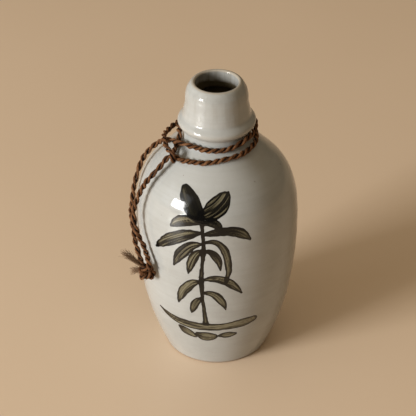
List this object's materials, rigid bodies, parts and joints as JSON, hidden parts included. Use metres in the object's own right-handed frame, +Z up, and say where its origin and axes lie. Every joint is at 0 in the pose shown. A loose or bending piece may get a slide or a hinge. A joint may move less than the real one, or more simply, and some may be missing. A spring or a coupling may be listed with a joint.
{
  "type": "sake bottle",
  "caption": "Glazed stoneware sake bottle with a bell-shaped mouth, a brush-painted reed motif, and a twisted palm cord hitched round its neck as a knotted carrying loop.",
  "frame": {"origin": "centre of the base, on the surface the bottle stands on", "axes": "+Z up the bottle's axis, -Y towards the painted front, -X towards the side where the cord hangs"},
  "size_m": [0.1165, 0.1072, 0.2],
  "materials": {
    "stoneware_glaze": "glossy grey-white feldspar glaze with iron-black brush painting under it",
    "palm_cord": "dark brown two-ply twisted palm fibre, rough and matt"
  },
  "bodies": {
    "bottle": {"bottle_body": "stoneware_glaze"},
    "neck_hitch": {"cord_upper_neck_turn": "palm_cord", "cord_neck_fold": "palm_cord", "cord_lower_neck_turn": "palm_cord"},
    "carrying_loop": {"cord_rear_strand": "palm_cord", "cord_front_strand": "palm_cord", "cord_end_knot": "palm_cord", "cord_long_frayed_end": "palm_cord", "cord_short_frayed_end": "palm_cord"}
  },
  "joints": [
    {"name": "hitch_turns_on_neck", "type": "hinge", "parent": "bottle", "child": "neck_hitch", "pos_m": [0, 0, 0.163], "axis": [0, 0, 1], "continuous": true},
    {"name": "loop_lifts", "type": "hinge", "parent": "neck_hitch", "child": "carrying_loop", "pos_m": [-0.03485, -0.0091, 0.1538], "axis": [-0.1396, 0.9902, 0], "range_deg": [0, 110]}
  ]
}
